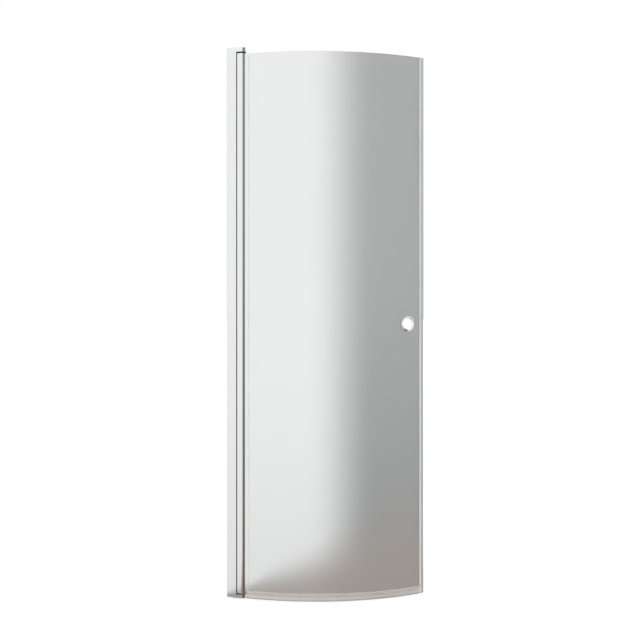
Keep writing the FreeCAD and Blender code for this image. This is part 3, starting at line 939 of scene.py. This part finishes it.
def round_skin(skin, section):
    """Closed ring round the axis of the grip. A section gives the radius and distance out of its points."""
    middle, tangent, outward = grip_axis()
    upward = Vector((0.0, 0.0, 1.0))
    rows = []
    for step in range(grip_steps):
        turn = math.tau * step / grip_steps
        spoke = tangent * math.cos(turn) + upward * math.sin(turn)
        rows.append([skin.verts.new(middle + spoke * radius + outward * out)
                     for radius, out in section(math.cos(turn))])
    for row, following in zip(rows, rows[1:] + rows[:1]):
        band(skin, row, following)


def grip_seat_of(side):
    """How far the underside of a grip ring stands from the middle of the glass."""
    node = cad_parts["grip_gasket_outer" if side > 0 else "grip_gasket_inner"]
    middle, _, outward = grip_axis()
    return max(side * (vertex.co - middle).dot(outward) for vertex in node.data.vertices)


def grip_gasket(side):
    """Section of a gasket between a ring and the bowed glass."""
    size = sizes()
    rim = (ring_high.z - ring_low.z) / 2 - size.grip_gasket_inset
    seat = side * grip_seat_of(side)
    face = size.bow_radius + side * (glass_half + size.grip_seat)
    radii = [grip_hole_radius + (rim - grip_hole_radius) * step / grip_gasket_steps
             for step in range(grip_gasket_steps + 1)]

    def section(cosine):
        """Outline of the gasket where the spoke has that share along the bow."""
        on_face = [(radius, math.sqrt(face ** 2 - (radius * cosine) ** 2) - size.bow_radius)
                   for radius in radii]
        under_ring = [(radius, seat) for radius in reversed(radii)]
        return on_face + under_ring
    return section


def sleeve_section(cosine):
    """Section of the clear sleeve in the glass hole, with softened ends, the same all the way round."""
    outer = grip_hole_radius - sleeve_gap
    inner = outer - sleeve_wall
    end = glass_half
    soft = sleeve_soft
    return [(inner, soft - end), (inner + soft, -end), (outer - soft, -end), (outer, soft - end),
            (outer, end - soft), (outer - soft, end), (inner + soft, end), (inner, end - soft)]


def sort_faces(skin, material_at):
    """Give each face of a seal the material of the place where it lies."""
    for face in skin.faces:
        face.material_index = material_at(face.calc_center_median())


class SHOWER_OT_glass(Operator):
    """Make the bowed glass with its ground edges and the hole for the grip"""

    bl_idname = "shower_door.glass"
    bl_label = "Glass"

    def execute(self, context):
        skin = bmesh.new()
        outer, outer_rim = glass_face(skin, glass_half, 0)
        inner, inner_rim = glass_face(skin, -glass_half, 2)
        band(skin, outer, inner, 1)
        band(skin, outer_rim, inner_rim, 1)
        piece = make_piece("bowed_glass", skin, ("satin_face", "ground_edge", "etched_face"), "door",
                           "satin_glass", "glass_panel")
        soften(piece, sizes().glass_arris, 1)
        return {"FINISHED"}


class SHOWER_OT_seals(Operator):
    """Make the clip-on seals of the lower and the free edge of the glass"""

    bl_idname = "shower_door.seals"
    bl_label = "Seals"

    def execute(self, context):
        self.foot_seal(sizes())
        self.edge_seal(sizes())
        return {"FINISHED"}

    def foot_seal(self, size):
        """Seal of the lower edge, with its lips run on under the pivot profile."""
        skin = bmesh.new()
        section = bottom_section()
        places = spread(0.0, bow_end() - size.edge_clip - size.seal_fit, bow_step)
        skin_over(skin, [[on_glass(place, out, z) for out, z in section] for place in places])
        start = seal_low.x - bend_x()
        for tail in tail_sections():
            stations = (start, start / 2, -tail_gap)
            skin_over(skin, [[on_glass(place, out, z) for out, z in tail] for place in stations])
        root = glass_low.z - size.seal_fit - size.seal_wall
        sort_faces(skin, lambda middle: 1 if middle.z < root else 0)
        make_piece("foot_seal", skin, ("clear_clip", "soft_lip"), "door", "clear_plastic", "bottom_seal")

    def edge_seal(self, size):
        """Seal of the free upright edge."""
        skin = bmesh.new()
        section = edge_section()
        straight = spread(fin_low.z + size.seal_round, fin_high.z - size.seal_round, edge_seal_step)
        heights = [fin_low.z] + straight + [fin_high.z]
        skin_over(skin, [[past_edge(along, out, z) for along, out in section] for z in heights])
        edge = past_edge(0.0, 0.0, 0.0)
        ahead = past_edge(1.0, 0.0, 0.0) - edge
        outward = past_edge(0.0, 1.0, 0.0) - edge

        def arm_or_fin(middle):
            """Material of a face: outer arm, inner arm or fin."""
            if (middle - edge).dot(ahead) > 0.0:
                return 2
            return 0 if (middle - edge).dot(outward) > 0.0 else 1

        sort_faces(skin, arm_or_fin)
        make_piece("free_edge_seal", skin, ("milky_arm", "clear_arm", "soft_fin"), "door", "clear_plastic",
                   "edge_seal")


class SHOWER_OT_glazing(Operator):
    """Make the strips and the block that bed the glass in its pocket"""

    bl_idname = "shower_door.glazing"
    bl_label = "Glazing strips"

    def execute(self, context):
        for side, name, material, node in (
                (-1, "outer_glazing_strip", "clear_gasket", "glazing_gasket_outer"),
                (1, "inner_glazing_strip", "clear_arm", "glazing_gasket_inner")):
            skin = bmesh.new()
            outline = gasket_section(side)
            heights = spread(gasket_low.z, gasket_high.z, strip_step)
            skin_over(skin, [[(x, y, z) for x, y in outline] for z in heights])
            make_piece(name, skin, (material,), "door", "clear_plastic", node)
        skin = bmesh.new()
        block_skin(skin)
        make_piece("ribbed_setting_block", skin, ("drawn_rubber",), "door", "grey_rubber", "setting_block")
        return {"FINISHED"}


class SHOWER_OT_profiles(Operator):
    """Finish the aluminium profiles and make the wiper between them"""

    bl_idname = "shower_door.profiles"
    bl_label = "Profiles"

    def execute(self, context):
        dress("bright_aluminium", "wall_channel", "adjust_profile", "pivot_profile")
        skin = bmesh.new()
        upright(skin, wiper_section(), wiper_low.z, wiper_high.z)
        make_piece("beaded_wiper", skin, ("drawn_rubber",), "hinge_frame", "grey_rubber", "hinge_wiper")
        return {"FINISHED"}


class SHOWER_OT_brackets(Operator):
    """Finish the brackets and the cover plate"""

    bl_idname = "shower_door.brackets"
    bl_label = "Brackets and cover"

    def execute(self, context):
        dress("polished_chrome", "top_bracket", "bottom_bracket", "top_cover")
        return {"FINISHED"}


class SHOWER_OT_pivots(Operator):
    """Finish the pins, bushes, plugs and bearing washers"""

    bl_idname = "shower_door.pivots"
    bl_label = "Pivots"

    def execute(self, context):
        dress("turned_steel", "top_pin", "bottom_pin")
        dress("moulded_nylon", "top_bush", "bottom_bush")
        dress("moulded_black", "top_plug", "bottom_plug", "top_washer")
        dress("moulded_graphite", "bottom_washer")
        return {"FINISHED"}


class SHOWER_OT_fasteners(Operator):
    """Finish the screws and the caps over the lock screws"""

    bl_idname = "shower_door.fasteners"
    bl_label = "Screws and caps"

    def execute(self, context):
        dress("turned_steel", "lock_screws", "top_bracket_screws", "bottom_bracket_screws",
              "plug_grub_screws")
        dress("moulded_grey", "lock_caps")
        return {"FINISHED"}


class SHOWER_OT_grip(Operator):
    """Finish the grip rings and make their gaskets and sleeve"""

    bl_idname = "shower_door.grip"
    bl_label = "Ring grip"

    def execute(self, context):
        dress("polished_chrome", "grip_ring_outer", "grip_ring_inner")
        for side, name, node in ((1, "outer_grip_gasket", "grip_gasket_outer"),
                                 (-1, "inner_grip_gasket", "grip_gasket_inner")):
            skin = bmesh.new()
            round_skin(skin, grip_gasket(side))
            make_piece(name, skin, ("clear_gasket",), "door", "clear_plastic", node)
        skin = bmesh.new()
        round_skin(skin, sleeve_section)
        make_piece("clear_grip_sleeve", skin, ("clear_gasket",), "door", "clear_plastic", "grip_sleeve")
        return {"FINISHED"}


def mirrored_only(screen):
    """Let a screen be seen in mirrors alone."""
    screen.visible_camera = False
    screen.visible_diffuse = False
    screen.visible_transmission = False
    screen.visible_volume_scatter = False
    screen.visible_shadow = False


def stage_piece(name, skin, material):
    """Floor or screen that isn't part of the door."""
    mesh = bpy.data.meshes.new(name)
    skin.to_mesh(mesh)
    skin.free()
    mesh.materials.append(material)
    made = bpy.data.objects.new(name, mesh)
    bpy.context.scene.collection.objects.link(made)
    return made


def skin_grid(skin, rows):
    """Open skin over rows of points. Returns its points."""
    grid = [[skin.verts.new(point) for point in row] for row in rows]
    for row, following in zip(grid, grid[1:]):
        for index in range(len(row) - 1):
            skin.faces.new((row[index], row[index + 1], following[index + 1], following[index]))
    return grid


def ease(value, start, end):
    """Smooth step from nought at the start to one at the end."""
    part = min(1.0, max(0.0, (value - start) / (end - start)))
    return part * part * (3.0 - 2.0 * part)


def rising(least, value, start, end):
    """Share that eases from its least at the start to one at the end."""
    return least + (1.0 - least) * ease(value, start, end)


def painted_shade_skin(skin, setting):
    """Sheet of painted shade in front of the door, which reaches further out towards the free edge and fades
    at its rim.
    """
    fade = skin.verts.layers.float.new("fade")
    rows, depths = [], []
    for along in spread(painted_shade_start, painted_shade_end, painted_shade_step):
        slope = painted_shade_hinge_slope if along < 0.0 else painted_shade_bow_slope
        middle = max(painted_shade_least, setting.painted_shade_depth + along * slope)
        reaches = [painted_shade_rim_share * middle * step / painted_shade_rows for step in range(painted_shade_rows + 1)]
        rows.append([on_glass(along, glass_half + painted_shade_gap + out, painted_shade_lift) for out in reaches])
        full = rising(painted_shade_hinge_share, along, *painted_shade_hinge_band)
        depths.append([full * (1.0 - ease(out / middle, *painted_shade_fade_shares))
                       * rising(painted_shade_near_share, out, *painted_shade_near_band) for out in reaches])
    for row, depth in zip(skin_grid(skin, rows), depths):
        for point, value in zip(row, depth):
            point[fade] = value


def flag_skin(skin, setting):
    """Upright screen, bent round the hinge."""
    turns = spread(setting.flag_start, setting.flag_end, flag_step)
    reach = setting.flag_distance
    row = [(reach * math.sin(turn), -reach * math.cos(turn)) for turn in turns]
    skin_grid(skin, [[(x, y, z) for x, y in row] for z in (-setting.flag_height, setting.flag_height)])


class SHOWER_OT_stage(Operator):
    """Set up the floor, the light, the mirrored dark screen, the sheet of painted shade that mirrors show,
    and the camera
    """

    bl_idname = "shower_door.stage"
    bl_label = "Studio"

    def execute(self, context):
        setting = studio()
        self.floor()
        skin = bmesh.new()
        flag_skin(skin, setting)
        mirrored_only(stage_piece("dark_flag", skin, shaded_flag(setting)))
        # Sheet of painted shade, seen only in mirrors, at the foot of the door
        skin = bmesh.new()
        painted_shade_skin(skin, setting)
        mirrored_only(stage_piece("painted_floor_shade", skin, painted_shade_material(setting)))
        self.light(context.scene, setting)
        self.camera(context.scene, setting)
        return {"FINISHED"}

    def floor(self):
        """Wide floor that mirrors and glass don't show."""
        skin = bmesh.new()
        bmesh.ops.create_circle(skin, cap_ends=True, segments=floor_segments, radius=floor_radius)
        floor = stage_piece("floor", skin, pale_floor())
        floor.visible_glossy = False
        floor.visible_transmission = False

    def light(self, scene, setting):
        """Even room that is a little darker low down, with a soft lamp above."""
        world = bpy.data.worlds.new("studio")
        room = Paint(world, "Generated")
        height = room.axes()[2]
        level = room.node("ShaderNodeMapRange", {"interpolation_type": "SMOOTHSTEP"},
                          {"Value": height, "From Min": dusk_full, "From Max": dusk_start,
                           "To Min": setting.room * setting.dusk, "To Max": setting.room})
        light = room.node("ShaderNodeBackground", {}, {"Color": (1.0, 1.0, 1.0, 1.0), "Strength": level})
        room.node("ShaderNodeOutputWorld", {}, {"Surface": light})
        scene.world = world
        lamp = bpy.data.lights.new("overhead", "SUN")
        lamp.energy = setting.overhead
        lamp.angle = lamp_angle
        overhead = bpy.data.objects.new("overhead", lamp)
        overhead.location = lamp_place
        overhead.visible_glossy = False
        scene.collection.objects.link(overhead)
        scene.view_settings.view_transform = "Standard"

    def camera(self, scene, setting):
        """Level camera at the photograph's viewing angle."""
        lens = bpy.data.cameras.new("camera")
        lens.lens = setting.camera_lens
        lens.sensor_width = sensor_width
        lens.shift_y = setting.camera_rise
        lens.clip_end = camera_sight
        camera = bpy.data.objects.new("camera", lens)
        camera.location = setting.camera_place
        camera.rotation_euler = (level_view, 0.0, setting.camera_turn)
        scene.collection.objects.link(camera)
        scene.camera = camera


makers = (SHOWER_OT_glass, SHOWER_OT_seals, SHOWER_OT_glazing, SHOWER_OT_profiles, SHOWER_OT_brackets,
          SHOWER_OT_pivots, SHOWER_OT_fasteners, SHOWER_OT_grip, SHOWER_OT_stage)


class SHOWER_PT_door(Panel):
    """Buttons and settings of the shower door"""

    bl_idname = "SHOWER_PT_door"
    bl_label = "Shower Door"
    bl_space_type = "VIEW_3D"
    bl_region_type = "UI"
    bl_category = "Shower Door"

    def draw(self, context):
        for maker in makers:
            self.layout.operator(maker.bl_idname)
        for group in (sizes(), finishes(), studio()):
            box = self.layout.box()
            for name in group.__annotations__:
                box.prop(group, name)


settings = (("shower_sizes", DoorSizes), ("shower_finishes", DoorFinishes), ("shower_studio", StudioSettings))


def register():
    """Add the settings, the operators and the panel."""
    for name, group in settings:
        bpy.utils.register_class(group)
        setattr(bpy.types.Scene, name, PointerProperty(type=group))
    for maker in makers:
        bpy.utils.register_class(maker)
    bpy.utils.register_class(SHOWER_PT_door)


def unregister():
    """Take the panel, the operators and the settings away."""
    bpy.utils.unregister_class(SHOWER_PT_door)
    for maker in reversed(makers):
        bpy.utils.unregister_class(maker)
    for name, group in reversed(settings):
        delattr(bpy.types.Scene, name)
        bpy.utils.unregister_class(group)


def main():
    """Make the whole door and its studio."""
    register()
    bpy.ops.shower_door.glass()
    bpy.ops.shower_door.seals()
    bpy.ops.shower_door.glazing()
    bpy.ops.shower_door.profiles()
    bpy.ops.shower_door.brackets()
    bpy.ops.shower_door.pivots()
    bpy.ops.shower_door.fasteners()
    bpy.ops.shower_door.grip()
    bpy.ops.shower_door.stage()


if __name__ == "__main__":
    main()
